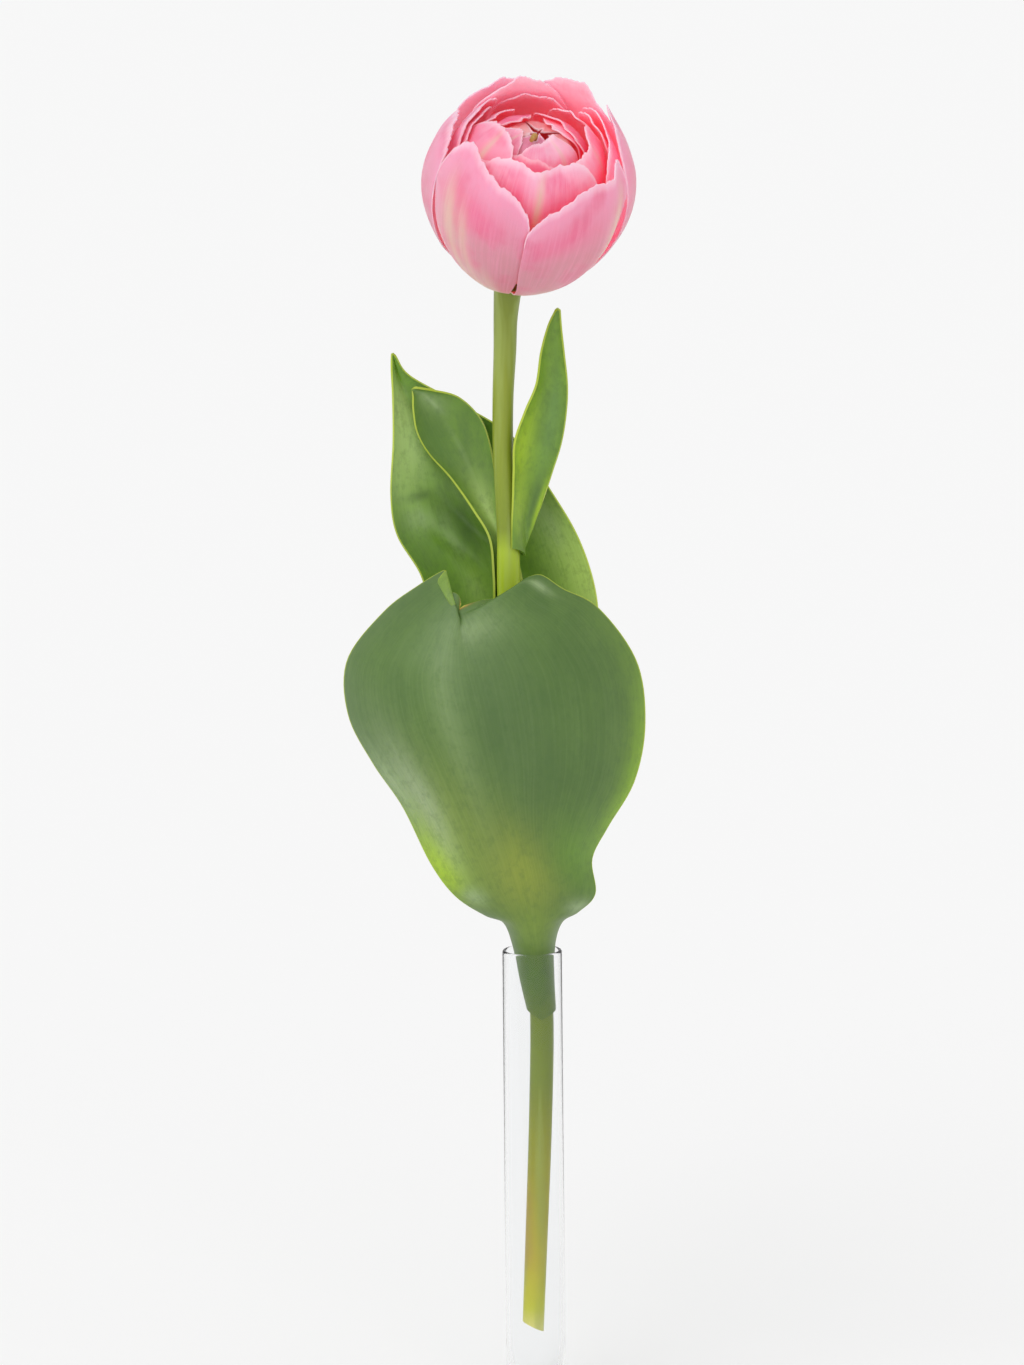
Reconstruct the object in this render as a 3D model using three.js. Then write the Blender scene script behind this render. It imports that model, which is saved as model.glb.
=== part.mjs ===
// One cut double tulip standing in a narrow clear glass tube.
// Millimetres, +Z up. The origin is the middle of the vase's flat base, and the front faces -Y.
// Every piece is a closed solid of its own. Neighbours that touch keep a gap of about 0.3 mm.

import * as THREE from 'three';

// Vase: a drawn glass tube with a thick rounded floor and a melted rim.
const VASE_HEIGHT = 141.5;
const VASE_RADIUS = 9;
const VASE_WALL = 1.2;
const VASE_FLOOR = 4;
const VASE_FOOT_ROUNDING = 1.5;
const VASE_HOLLOW_ROUNDING = 19;
const VASE_SIDES = 40;

// Plant: its heights below count from the inner floor of the vase.
const PLANT_LIFT = VASE_FLOOR;

// Stem: centre line and radius, from the slanted cut end up to the bloom.
const STEM_LINE = [
  [-0.7, -3.95, 22], [0.6, -2.5, 51], [1.95, -1, 82], [2.8, 0.5, 112], [2.2, 1.5, 126], [-0.2, 2.4, 152],
  [-2.6, 3.4, 189], [-5.2, 4.0, 225], [-6.0, 4.3, 247], [-6.0, 4.7, 262], [-6.6, 5.2, 274],
  [-7.3, 6.2, 289], [-7.2, 7.3, 304], [-6.5, 8.6, 318], [-6.2, 8.9, 328],
];
const STEM_RADII = [3.2, 3.35, 3.5, 3.6, 3.6, 3.8, 3.75, 3.6, 3.5, 3.4, 3.2, 3.1, 3.15, 3.4, 3.6];
const STEM_RINGS = 34;
const STEM_SIDES = 14;
const STEM_CUT_SLANT = 0.45;

// Bloom: its base point, the way it leans (right and towards the front) and its cone of growth.
const BLOOM_BASE = new THREE.Vector3(-5.2, 6.2, 339);
const BLOOM_AXIS = new THREE.Vector3(0.17, -0.4, 0.9).normalize();
const CONE_RADIUS = 4.2;
const CONE_HEIGHT = 11;
const CONE_TIP_RADIUS = 1.05;

// Petal layers: radius and height at six even steps from base to rim, for the outermost
// layer and for layer 10, which is the bud in the middle. The layers between are blended.
const OUTER_RADIUS = [4.6, 14.8, 25.6, 32, 32, 26];
const OUTER_HEIGHT = [0, 5.4, 15.4, 29, 43.5, 58];
const BUD_RADIUS = [1.9, 6.3, 11, 13.6, 11.6, 3.8];
const BUD_HEIGHT = [9.5, 14.5, 24, 37.5, 50, 53.4];
const BUD_LAYER = 10;
const PETAL_THICKNESS = 0.65;
const PETAL_ACROSS = 8;
const PETAL_ALONG = 9;
const CLAW_SHARE = 0.45;
const CLAW_LENGTH = 0.55;
const MARGIN_WAVE = 0.16;
const MARGIN_TUCK = 0.2;

// Leaves are a little thicker than petals. Each has its own count of cells across and along.
const LEAF_THICKNESS = 0.8;
const BROAD_CELLS = [14, 30];
const BACK_CELLS = [10, 22];
const SMALL_CELLS = [8, 20];

// Value of an evenly stepped list at t from 0 to 1, on a smooth curve through every entry.
function spline(list, t) {
  const last = list.length - 1;
  const place = THREE.MathUtils.clamp(t, -0.1, 1.1) * last;
  const i = THREE.MathUtils.clamp(Math.floor(place), 0, last - 1);
  const f = place - i;
  const b = list[i];
  const c = list[i + 1];
  const a = i > 0 ? list[i - 1] : 2 * b - c;
  const d = i < last - 1 ? list[i + 2] : 2 * c - b;
  const cubic = 3 * (b - c) + d - a;
  const square = 2 * a - 5 * b + 4 * c - d;
  return b + 0.5 * f * (c - a + f * (square + f * cubic));
}

function splinePoint(points, t) {
  const parts = [0, 1, 2].map((k) => spline(points.map((p) => p[k]), t));
  return new THREE.Vector3(...parts);
}

function smooth(t) {
  const x = THREE.MathUtils.clamp(t, 0, 1);
  return x * x * (3 - 2 * x);
}

function closedGeometry(positions, indices) {
  const geometry = new THREE.BufferGeometry();
  geometry.setAttribute('position', new THREE.Float32BufferAttribute(positions, 3));
  geometry.setIndex(indices);
  geometry.computeVertexNormals();
  return geometry;
}

// A thin closed sheet on a surface(u, v), with u from -1 to 1 across and v from 0 to 1 along.
// Both faces are split into the same triangles, and a rim joins them.
function sheet(surface, across, along, thickness) {
  const step = 0.004;
  const front = [];
  const back = [];
  for (let j = 0; j <= along; j += 1) {
    for (let i = 0; i <= across; i += 1) {
      const u = (2 * i) / across - 1;
      const v = j / along;
      const point = surface(u, v);
      const overU = surface(Math.min(u + step, 1), v).sub(surface(Math.max(u - step, -1), v));
      const overV = surface(u, Math.min(v + step, 1)).sub(surface(u, Math.max(v - step, 0)));
      const offset = overU.cross(overV).setLength(thickness / 2);
      front.push(...point.clone().add(offset).toArray());
      back.push(...point.clone().sub(offset).toArray());
    }
  }
  const row = across + 1;
  const count = row * (along + 1);
  const faces = [];
  for (let j = 0; j < along; j += 1) {
    for (let i = 0; i < across; i += 1) {
      const a = j * row + i;
      const b = a + 1;
      const c = a + row;
      const d = c + 1;
      faces.push(a, b, d, a, d, c);
      faces.push(a + count, d + count, b + count, a + count, c + count, d + count);
    }
  }
  const rim = [];
  for (let i = 0; i < across; i += 1) rim.push(i);
  for (let j = 0; j < along; j += 1) rim.push(j * row + across);
  for (let i = across; i > 0; i -= 1) rim.push(along * row + i);
  for (let j = along; j > 0; j -= 1) rim.push(j * row);
  rim.forEach((a, k) => {
    const b = rim[(k + 1) % rim.length];
    faces.push(a, a + count, b + count, a, b + count, b);
  });
  return closedGeometry([...front, ...back], faces);
}

// A round rod through rings of [centre, right, up, radius], closed by a fan at each end.
function rod(rings, sides) {
  const positions = [];
  const faces = [];
  rings.forEach(({ centre, right, up, radius, slant = 0 }, j) => {
    for (let i = 0; i < sides; i += 1) {
      const angle = (2 * Math.PI * i) / sides;
      const along = right.clone().cross(up).multiplyScalar(slant * radius * Math.cos(angle));
      const point = centre.clone().add(along);
      point.addScaledVector(right, radius * Math.cos(angle));
      point.addScaledVector(up, radius * Math.sin(angle));
      positions.push(...point.toArray());
      if (j > 0) {
        const a = (j - 1) * sides + i;
        const b = (j - 1) * sides + ((i + 1) % sides);
        faces.push(a, b, b + sides, a, b + sides, a + sides);
      }
    }
  });
  const low = positions.length / 3;
  positions.push(...rings[0].centre.toArray(), ...rings.at(-1).centre.toArray());
  const top = (rings.length - 1) * sides;
  for (let i = 0; i < sides; i += 1) {
    const next = (i + 1) % sides;
    faces.push(low, next, i);
    faces.push(low + 1, top + i, top + next);
  }
  return closedGeometry(positions, faces);
}

// The vase is one turned profile: foot, outer wall, melted rim, inner wall and rounded hollow.
function vaseGeometry() {
  const inner = VASE_RADIUS - VASE_WALL;
  const profile = [new THREE.Vector2(0, 0)];
  const arc = (x, y, radiusX, radiusY, from, to, steps) => {
    for (let k = 0; k <= steps; k += 1) {
      const angle = THREE.MathUtils.degToRad(from + ((to - from) * k) / steps);
      profile.push(new THREE.Vector2(x + radiusX * Math.cos(angle), y + radiusY * Math.sin(angle)));
    }
  };
  const foot = VASE_FOOT_ROUNDING;
  arc(VASE_RADIUS - foot, foot, foot, foot, -90, 0, 3);
  const lip = VASE_WALL / 2;
  arc(VASE_RADIUS - lip, VASE_HEIGHT - lip, lip, lip, 0, 180, 6);
  const hollow = VASE_HOLLOW_ROUNDING;
  arc(0, VASE_FLOOR + hollow, inner, hollow, 0, -84, 8);
  profile.push(new THREE.Vector2(0, VASE_FLOOR));
  const geometry = new THREE.LatheGeometry(profile, VASE_SIDES);
  geometry.rotateX(Math.PI / 2);
  return geometry;
}

// The stem follows its line, turns into the lean of the bloom and ends in the cone of growth.
function stemGeometry() {
  const neck = BLOOM_BASE.clone().addScaledVector(BLOOM_AXIS, -1.5);
  const line = [...STEM_LINE, neck.toArray()];
  const radii = [...STEM_RADII, CONE_RADIUS];
  const forward = new THREE.Vector3(0, -1, 0);
  const rings = [];
  for (let j = 0; j <= STEM_RINGS; j += 1) {
    const t = j / STEM_RINGS;
    const centre = splinePoint(line, t);
    const ahead = splinePoint(line, Math.min(t + 0.01, 1));
    const behind = splinePoint(line, Math.max(t - 0.01, 0));
    const along = j === STEM_RINGS ? BLOOM_AXIS.clone() : ahead.sub(behind).normalize();
    const right = forward.clone().cross(along).normalize();
    const up = along.clone().cross(right);
    rings.push({ centre, right, up, radius: spline(radii, t), slant: j === 0 ? STEM_CUT_SLANT : 0 });
  }
  const { right, up } = rings.at(-1);
  const cone = [[0, CONE_RADIUS], [CONE_HEIGHT, CONE_TIP_RADIUS], [CONE_HEIGHT + 0.8, CONE_TIP_RADIUS / 2]];
  cone.forEach(([height, radius]) => {
    const centre = BLOOM_BASE.clone().addScaledVector(BLOOM_AXIS, height);
    rings.push({ centre, right, up, radius });
  });
  return rod(rings, STEM_SIDES);
}

// A leaf is given by stations from base to tip. Each holds the left margin, the midrib and the
// right margin, then how far the blade wraps and which way it turns there, in degrees.
function leafSurface(stations, ripple = () => 0) {
  const part = (k) => stations.map((station) => station[k]);
  return (u, v) => {
    const rib = splinePoint(part(1), v);
    const margin = splinePoint(part(u < 0 ? 0 : 2), v);
    const wrap = THREE.MathUtils.degToRad(spline(part(3), v));
    const turn = THREE.MathUtils.degToRad(spline(part(4), v));
    const reach = margin.sub(rib);
    const tangent = new THREE.Vector3(Math.cos(turn), Math.sin(turn), 0);
    const lateral = tangent.multiplyScalar(reach.dot(tangent));
    lateral.z = reach.z;
    const depth = reach.clone().sub(lateral);
    const angle = Math.abs(u) * wrap;
    const point = rib.addScaledVector(lateral, Math.sin(angle) / Math.sin(wrap));
    point.addScaledVector(depth, (1 - Math.cos(angle)) / (1 - Math.cos(wrap)));
    point.y += ripple(u, v);
    return point;
  };
}

function leafGeometry(stations, [across, along], ripple) {
  return sheet(leafSurface(stations, ripple), across, along, LEAF_THICKNESS);
}

// The broad front leaf: a sheath that wraps the stem inside the rim, then an arched blade whose
// top margin rises in two shoulders beside its tip.
const BROAD_LEAF = [
  [[-1.5, 1.1, 119], [2.7, -3.5, 116.5], [6.95, 1.3, 119], 88, 0],
  [[-3.6, 1.9, 128], [1.8, -4.3, 127], [6.6, 2.2, 128], 86, 0],
  [[-5.6, 2.2, 138.5], [1.2, -6.7, 138], [6.7, 2.5, 138.5], 80, 0],
  [[-8.4, 0.4, 146], [0.2, -9.4, 146], [9, 0.4, 146], 70, 0],
  [[-14, -3, 149], [-1, -11.4, 152.5], [14, -2.8, 149.8], 60, 0],
  [[-22.9, -7, 155.8], [-3, -14.8, 163], [19, -4.6, 155.6], 50, 0],
  [[-30.1, -7.5, 165.9], [-5.5, -18, 175], [18.1, -4, 166], 50, 0],
  [[-38.3, -6, 183], [-9, -22, 188], [22.9, -2.6, 175.5], 55, 0],
  [[-47.1, -2, 195.5], [-12, -24.5, 202], [31, 0, 189], 55, 0],
  [[-54.4, 2, 209.5], [-15, -25.5, 215], [34.4, 2, 206], 55, 0],
  [[-54.5, 3, 226], [-17.4, -24.2, 225], [32, 1, 225], 55, 0],
  [[-43.4, 1, 241], [-19, -21.8, 232], [20.8, -3, 241.8], 50, 0],
  [[-33, -3, 249.5], [-19.8, -20, 236.5], [10.2, -7.3, 248.7], 45, 0],
  [[-25, -7.5, 254.7], [-20.3, -18.7, 239.6], [3, -10, 253.8], 42, 0],
  [[-26.9, -11, 251.9], [-20.7, -17.6, 241.5], [-3, -12.3, 251.2], 38, 0],
  [[-24.9, -13.2, 249.4], [-20.9, -16.8, 242.7], [-6.6, -13.5, 247.4], 35, 0],
  [[-21.4, -14.6, 248.6], [-21.1, -16.1, 243.5], [-13.5, -14.4, 246.6], 32, 0],
  [[-20.2, -15.4, 245.8], [-21.2, -15.5, 244], [-19.4, -15.2, 245.2], 30, 0],
];
// Its margins ripple gently from above the rim to just below the tip.
function broadRipple(u, v) {
  const free = smooth(3 * v - 0.9) * smooth(6 - 6 * v);
  return 1.2 * u * u * Math.sin(19 * v + 2 * u) * free;
}

// The large back leaf: it clasps the stem from behind, well above the rim, and leans left.
const BACK_LEAF = [
  [[-6.2, 3, 166], [-1.3, 7.9, 166], [3.4, 3, 166], 88, 0],
  [[-15.6, 9, 187], [-3, 13, 187], [9.4, 8.4, 185], 70, 0],
  [[-23.6, 12, 211], [-5, 17, 210], [16.2, 11, 206], 55, 0],
  [[-29.2, 13.5, 235], [-8, 19, 234], [20.4, 12.5, 229], 50, 0],
  [[-32.2, 14, 249.5], [-10.5, 20, 249], [20.2, 13.5, 244], 50, 0],
  [[-39.4, 15, 262], [-16, 20.5, 263], [15.4, 14.5, 260], 50, 0],
  [[-41.2, 15.5, 274], [-21, 21, 277], [7.2, 16, 274.5], 50, 0],
  [[-40.3, 16.5, 290], [-27, 21.5, 290], [-4.2, 17.5, 291], 50, 0],
  [[-40.3, 19, 303], [-33.8, 21.8, 301.5], [-22.5, 19.8, 302.3], 50, 0],
  [[-40.6, 21, 311], [-38, 22.5, 309.8], [-35.3, 22, 309.5], 45, 0],
  [[-40.6, 22, 316], [-40.1, 22.1, 316.3], [-39.5, 22, 315.6], 30, 0],
];
// One soft crease runs up the left half of the blade.
function backRipple(u, v) {
  const crease = Math.exp(-((u + 0.35) ** 2) / 0.05);
  return 1.6 * crease * Math.sin(13 * v - 4) * smooth(5 * v - 1.2);
}

// The upper left leaf: it clasps the stem from behind and turns its inner face to the front.
const LEFT_LEAF = [
  [[-10.4, 4.6, 243], [-6, 9.0, 243], [-1.6, 4.9, 243], 88, 0],
  [[-10.5, 5.2, 251], [-7, 9.8, 252], [-2.6, 7.6, 252], 80, 0],
  [[-11.6, 6.9, 262], [-9, 11.2, 262], [-5.9, 9.7, 260.5], 70, 0],
  [[-16.5, 9.3, 270.5], [-12.5, 12.6, 270], [-8.7, 10.6, 268.5], 60, 0],
  [[-23, 10.8, 279.7], [-15.8, 14, 280], [-9.6, 11.8, 279.6], 50, 0],
  [[-29.5, 12.2, 287], [-19.5, 15, 289], [-11.3, 12.8, 290], 50, 0],
  [[-33, 12.8, 293.5], [-23.5, 15.6, 296], [-14.2, 13.4, 297.6], 50, 0],
  [[-34.1, 13.2, 300], [-28, 15.4, 301.2], [-20.5, 13.8, 303.8], 50, 0],
  [[-34.2, 13.4, 304.3], [-31.4, 14.8, 305], [-28, 14.2, 306], 45, 0],
  [[-34.6, 13.8, 306.4], [-33.9, 14, 306.9], [-33, 13.9, 307], 30, 0],
];
// The blade twists lightly along its length.
function leftRipple(u, v) {
  return 0.7 * u * Math.sin(11 * v) * smooth(4 * v - 1);
}

// The narrow upper right leaf: it clasps the right side of the stem and stands folded along its rib.
const RIGHT_LEAF = [
  [[-5.0, 0.2, 260], [-1.2, 4.5, 257], [-2.2, 7.2, 257], 75, 90],
  [[-4.9, 0.5, 267], [-1.5, 5.2, 265.5], [1.2, 7.4, 264.5], 60, 70],
  [[-4.5, 0.8, 275], [-0.2, 6, 273.5], [4.4, 6.6, 273], 50, 45],
  [[-4.2, 1.2, 283.5], [1.9, 6.9, 283], [7.5, 5.9, 282.5], 40, 15],
  [[-3.8, 1.6, 292], [3.9, 7.2, 292], [10.2, 5.6, 291], 35, 0],
  [[-0.6, 2.6, 301], [5.2, 7.2, 300], [11.7, 5.4, 300], 35, 0],
  [[2.8, 3.4, 309], [6.8, 6.9, 309], [12.1, 5.2, 308.5], 35, 0],
  [[4.3, 3.9, 318.5], [7.9, 6.4, 318], [11.2, 5.0, 318], 35, 0],
  [[6.5, 4.3, 326.4], [8.6, 5.5, 325.5], [10.4, 4.6, 326], 30, 0],
  [[8.8, 4.4, 331.2], [9.4, 4.6, 331.8], [10.1, 4.4, 331.2], 30, 0],
];

// Petals. Angles go round the bloom in degrees: 0 right, 90 back, 180 left, -90 front.
// Each petal fills the angles from and to, in its layer. Its rim gives how high its margin
// reaches at even places across, as a share of the layer's length. Lean says by how many layers
// the rim bends in towards the middle, and sink by how many millimetres it hangs lower. Claw is
// the share of its width at the base, tuck by how many layers a side bends in, both for its from
// and to side, and turn the degrees by which the claw is turned.
const PETALS = [
  { name: 'petal_front_left', from: -149, to: -86.5, layer: 0, turn: 4, claw: [0.45, 0.55], tuck: [1.2, 0.2],
    rim: [0.73, 0.9, 0.98, 0.92, 0.87, 0.8, 0.68] },
  { name: 'petal_front_right', from: -85.5, to: -18, layer: 0, turn: -2, claw: [0.7, 0.3], tuck: [0.2, 1.6],
    rim: [0.68, 0.76, 0.84, 0.9, 0.91, 0.95, 0.76] },
  { name: 'petal_back_left', from: 92, to: 146, layer: 1,
    rim: [0.8, 0.93, 0.98, 0.99, 0.96, 0.89, 0.76] },
  { name: 'petal_far_left', from: 149, to: 210, layer: 0.5, lean: 3.5,
    rim: [0.7, 0.84, 0.89, 0.9, 0.88, 0.81, 0.66] },
  { name: 'petal_far_right', from: -16, to: 40, layer: 0.4, lean: 1, claw: [1.9, 0.45],
    rim: [0.76, 0.9, 1.02, 1.08, 1.06, 0.96, 0.78] },
  { name: 'petal_back_right', from: 22, to: 102, layer: 2,
    rim: [0.8, 0.94, 1.04, 1.08, 1.06, 0.97, 0.8] },
  { name: 'petal_back', from: 70.5, to: 141.5, layer: 3,
    rim: [0.78, 0.94, 1.035, 1.07, 1.06, 0.99, 0.82] },
  { name: 'petal_front', from: -128, to: -36, layer: 3,
    rim: [0.74, 0.88, 0.94, 0.945, 0.925, 0.955, 0.955, 0.89, 0.76] },
  { name: 'petal_inner_right', from: -28, to: 62, layer: 3,
    rim: [0.72, 0.86, 0.95, 0.98, 1, 0.94, 0.78] },
  { name: 'petal_inner_left', from: 131, to: 206, layer: 3.9,
    rim: [0.86, 0.95, 0.97, 0.96, 0.9, 0.8, 0.66] },
  { name: 'petal_second_back', from: 68, to: 128, layer: 4.2,
    rim: [0.78, 0.9, 0.97, 0.98, 0.97, 0.92, 0.8] },
  { name: 'petal_second_left', from: 138, to: 200, layer: 4.95,
    rim: [0.8, 0.9, 0.94, 0.93, 0.89, 0.82, 0.7] },
  { name: 'petal_second_right', from: 4, to: 60, layer: 4.2,
    rim: [0.76, 0.9, 0.97, 0.99, 0.98, 0.92, 0.8] },
  { name: 'petal_side_left', from: 174, to: 244, layer: 5.9,
    rim: [0.78, 0.92, 1, 1.02, 0.99, 0.9, 0.76] },
  { name: 'petal_side_right', from: -66, to: 16, layer: 5.3,
    rim: [0.76, 0.86, 0.91, 0.94, 0.98, 1.02, 0.86] },
  { name: 'petal_third_right', from: 36, to: 86, layer: 5.4,
    rim: [0.76, 0.9, 0.96, 0.96, 0.93, 0.86, 0.74] },
  { name: 'petal_third_left', from: 118, to: 186, layer: 6.8,
    rim: [0.82, 0.9, 0.92, 0.92, 0.9, 0.85, 0.74] },
  { name: 'petal_corner_left', from: -152, to: -92, layer: 4.6,
    rim: [0.76, 0.86, 0.93, 0.96, 0.95, 0.88, 0.78] },
  { name: 'petal_inner_front', from: -128, to: -60, layer: 7.2,
    rim: [0.76, 0.84, 0.89, 0.9, 0.88, 0.84, 0.76] },
  { name: 'bud_petal_left', from: 104, to: 176, layer: 8.8,
    rim: [0.84, 0.95, 1, 1.01, 0.99, 0.93, 0.82] },
  { name: 'bud_petal_back', from: -8, to: 98, layer: 8,
    rim: [0.8, 0.93, 0.98, 1, 1, 0.96, 0.84] },
  { name: 'bud_petal_right', from: 2, to: 86, layer: 9.4,
    rim: [0.82, 0.95, 1, 1.01, 1, 0.94, 0.82] },
  { name: 'bud_petal_front_left', from: -179, to: -112, layer: 9.2,
    rim: [0.84, 0.95, 1, 1.01, 0.98, 0.93, 0.82] },
  { name: 'bud_petal_front_right', from: -108, to: -14, layer: 9.2,
    rim: [0.8, 0.91, 0.96, 0.99, 1.02, 1, 0.86] },
  { name: 'petaloid_back', from: 36, to: 112, layer: 10.9, sink: 1.4,
    rim: [0.8, 0.92, 0.98, 0.94, 1, 0.92, 0.8] },
  { name: 'petaloid_left', from: 136, to: 206, layer: 10.9, sink: 1.4,
    rim: [0.8, 0.92, 0.96, 1, 0.95, 0.92, 0.8] },
  { name: 'petaloid_right', from: -58, to: 16, layer: 10.9, sink: 1.4,
    rim: [0.8, 0.92, 0.98, 0.96, 1, 0.92, 0.8] },
];

// Right and back directions of the bloom, square to its axis.
const BLOOM_RIGHT = new THREE.Vector3(0, 1, -0.12).cross(BLOOM_AXIS).normalize();
const BLOOM_BACK = BLOOM_AXIS.clone().cross(BLOOM_RIGHT);

function bloomPoint(angle, radius, height) {
  const point = BLOOM_BASE.clone().addScaledVector(BLOOM_AXIS, height);
  point.addScaledVector(BLOOM_RIGHT, radius * Math.cos(angle));
  return point.addScaledVector(BLOOM_BACK, radius * Math.sin(angle));
}

// A petal lies on its layer, narrows to a claw at its base, and has a softly waved margin.
function petalSurface({ from, to, layer, rim, lean = 0, sink = 0, turn = 0, claw, tuck }) {
  const { lerp, degToRad } = THREE.MathUtils;
  const middle = degToRad((from + to) / 2);
  const half = degToRad((to - from) / 2);
  const [clawFrom, clawTo] = claw ?? [CLAW_SHARE, CLAW_SHARE];
  const [tuckFrom, tuckTo] = tuck ?? [MARGIN_TUCK, MARGIN_TUCK];
  return (u, v) => {
    const across = Math.sin((u * Math.PI) / 2);
    const share = v * spline(rim, (u + 1) / 2);
    const grown = smooth(share / CLAW_LENGTH);
    const widening = lerp(u < 0 ? clawFrom : clawTo, 1, grown);
    const angle = middle + half * across * widening + degToRad(turn) * (1 - grown);
    const wave = MARGIN_WAVE * Math.sin(7 * across + 5 * middle) * v * v;
    const side = (u < 0 ? tuckFrom : tuckTo) * smooth(share / 0.4) * (1 - 0.8 * smooth((share - 0.6) / 0.3));
    const blend = (layer + wave + side * across * across + lean * share ** 6) / BUD_LAYER;
    const radius = lerp(spline(OUTER_RADIUS, share), spline(BUD_RADIUS, share), blend);
    const height = lerp(spline(OUTER_HEIGHT, share), spline(BUD_HEIGHT, share), blend);
    return bloomPoint(angle, radius, height - sink * share ** 3);
  };
}

// The anther is a small spindle on a thread that rises from the tip of the cone of growth.
function antherGeometry() {
  const line = [[0, 0, 12.2], [-0.8, -2.4, 30], [-1.0, -3.9, 43], [-0.9, -4.2, 46], [-0.7, -4.0, 51.5]];
  const radii = [0.6, 0.6, 0.6, 1.1, 0.7];
  const steps = 12;
  const sides = 8;
  const rings = [];
  for (let j = 0; j <= steps; j += 1) {
    const t = j / steps;
    const local = splinePoint(line, t);
    const centre = BLOOM_BASE.clone().addScaledVector(BLOOM_RIGHT, local.x);
    centre.addScaledVector(BLOOM_BACK, local.y).addScaledVector(BLOOM_AXIS, local.z);
    rings.push({ centre, right: BLOOM_RIGHT, up: BLOOM_BACK, radius: spline(radii, t) });
  }
  return rod(rings, sides);
}

const GLASS = new THREE.MeshStandardMaterial({ color: 0xeef3f0, roughness: 0.05, metalness: 0 });
const STEM_GREEN = new THREE.MeshStandardMaterial({ color: 0x8fa64f, roughness: 0.55, metalness: 0 });
const LEAF_GREEN = new THREE.MeshStandardMaterial({ color: 0x6f8a4e, roughness: 0.5, metalness: 0 });
const PETAL_PINK = new THREE.MeshStandardMaterial({ color: 0xee8fae, roughness: 0.6, metalness: 0 });
const ANTHER_YELLOW = new THREE.MeshStandardMaterial({ color: 0xc9a35a, roughness: 0.7, metalness: 0 });

const tulip = new THREE.Group();
const plant = new THREE.Group();
plant.position.z = PLANT_LIFT;
tulip.add(plant);

function add(parent, name, geometry, material) {
  const mesh = new THREE.Mesh(geometry, material);
  mesh.name = name;
  parent.add(mesh);
}

add(tulip, 'glass_vase', vaseGeometry(), GLASS);
add(plant, 'stem', stemGeometry(), STEM_GREEN);
add(plant, 'leaf_broad', leafGeometry(BROAD_LEAF, BROAD_CELLS, broadRipple), LEAF_GREEN);
add(plant, 'leaf_back', leafGeometry(BACK_LEAF, BACK_CELLS, backRipple), LEAF_GREEN);
add(plant, 'leaf_left', leafGeometry(LEFT_LEAF, SMALL_CELLS, leftRipple), LEAF_GREEN);
add(plant, 'leaf_right', leafGeometry(RIGHT_LEAF, SMALL_CELLS), LEAF_GREEN);
PETALS.forEach((petal) => {
  const geometry = sheet(petalSurface(petal), PETAL_ACROSS, PETAL_ALONG, PETAL_THICKNESS);
  add(plant, petal.name, geometry, PETAL_PINK);
});
add(plant, 'anther', antherGeometry(), ANTHER_YELLOW);

export default tulip;
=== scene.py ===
import math

import bpy
import numpy as np
from mathutils import Matrix, Vector


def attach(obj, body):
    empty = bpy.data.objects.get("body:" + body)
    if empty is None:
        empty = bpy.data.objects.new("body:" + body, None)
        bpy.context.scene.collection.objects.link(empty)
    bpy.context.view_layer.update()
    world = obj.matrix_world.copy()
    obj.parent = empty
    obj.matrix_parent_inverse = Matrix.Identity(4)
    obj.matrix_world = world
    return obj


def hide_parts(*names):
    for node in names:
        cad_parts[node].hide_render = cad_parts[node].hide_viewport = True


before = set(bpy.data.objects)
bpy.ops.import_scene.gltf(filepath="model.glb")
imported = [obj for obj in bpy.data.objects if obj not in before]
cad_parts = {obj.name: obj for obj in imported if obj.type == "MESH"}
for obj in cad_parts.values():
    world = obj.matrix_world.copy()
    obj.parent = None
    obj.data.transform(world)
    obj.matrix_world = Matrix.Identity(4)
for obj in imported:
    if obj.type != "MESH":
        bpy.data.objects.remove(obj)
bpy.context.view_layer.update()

bpy.ops.object.select_all(action="DESELECT")

# The vase is a narrow tube of clear glass, drawn in one piece: a thick rounded floor, a thin wall
# and a rim melted smooth in the flame. A ring is drawn out step by step up the outside, over the
# rim and down into the hollow.
MM = 0.001
VASE_HEIGHT = 141.5
VASE_RADIUS = 9.0
VASE_WALL = 1.2
VASE_FLOOR = 4.0
FOOT_ROUNDING = 1.5
HOLLOW_ROUNDING = 19.0
GLASS_SIDES = 128
PIN_HOLE = 0.15
FOOT_RING = 5.0
SMOOTH_BELOW = math.radians(50)


def arc(x, z, radius_x, radius_z, start, end, steps):
    """Points (radius, height) of an elliptic arc, in millimetres, with angles in degrees."""
    angles = [math.radians(start + (end - start) * k / steps) for k in range(steps + 1)]
    return [(x + radius_x * math.cos(a), z + radius_z * math.sin(a)) for a in angles]


def turned_piece(name, profile, sides):
    """A closed turned piece: a small ring is extruded and resized through the whole profile."""
    radius, height = profile[0]
    bpy.ops.mesh.primitive_circle_add(vertices=sides, radius=radius * MM, location=(0, 0, height * MM))
    piece = bpy.context.object
    piece.name = name
    bpy.ops.object.transform_apply()
    bpy.ops.object.mode_set(mode="EDIT")
    bpy.ops.mesh.select_all(action="SELECT")
    for next_radius, next_height in profile[1:]:
        rise = (0, 0, (next_height - height) * MM)
        bpy.ops.mesh.extrude_region_move(TRANSFORM_OT_translate={"value": rise})
        scale = next_radius / radius
        bpy.ops.transform.resize(value=(scale, scale, 1), center_override=(0, 0, next_height * MM))
        radius, height = next_radius, next_height
    bpy.ops.mesh.select_all(action="SELECT")
    bpy.ops.mesh.fill_holes(sides=0)
    bpy.ops.mesh.select_all(action="SELECT")
    bpy.ops.mesh.normals_make_consistent(inside=False)
    bpy.ops.object.mode_set(mode="OBJECT")
    bpy.ops.object.shade_smooth_by_angle(angle=SMOOTH_BELOW)
    return piece


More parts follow.
